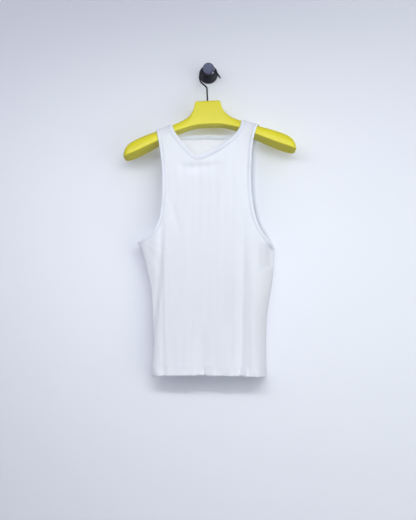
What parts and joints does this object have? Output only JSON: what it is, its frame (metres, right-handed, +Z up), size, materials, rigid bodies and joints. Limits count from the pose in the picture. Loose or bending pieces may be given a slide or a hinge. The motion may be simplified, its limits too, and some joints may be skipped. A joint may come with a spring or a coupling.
{
  "type": "tank top on a hanger and wall peg",
  "caption": "Sleeveless ribbed cotton top with a bound scoop neck and armholes, draped over a contoured hanger whose wire hook hangs from a turned wall peg.",
  "frame": {"origin": "centre of the peg's back face, on the wall", "axes": "+Z up, +Y into the wall, +X to the right of someone who faces the front of the garment"},
  "size_m": [0.4029, 0.0748, 0.7536],
  "materials": {
    "rib_cotton": "white fine rib cotton jersey, matt",
    "binding_cotton": "white folded jersey binding, matt",
    "hanger_paint": "bright yellow satin lacquer",
    "hook_wire": "black lacquered steel wire",
    "peg_finish": "dark turned peg with a brushed end face"
  },
  "bodies": {
    "root": {"front_panel": "rib_cotton", "back_panel": "rib_cotton", "neck_binding": "binding_cotton", "armhole_binding_left": "binding_cotton", "armhole_binding_right": "binding_cotton", "hanger_body": "hanger_paint", "hanger_hook": "hook_wire", "wall_peg": "peg_finish"}
  },
  "joints": []
}
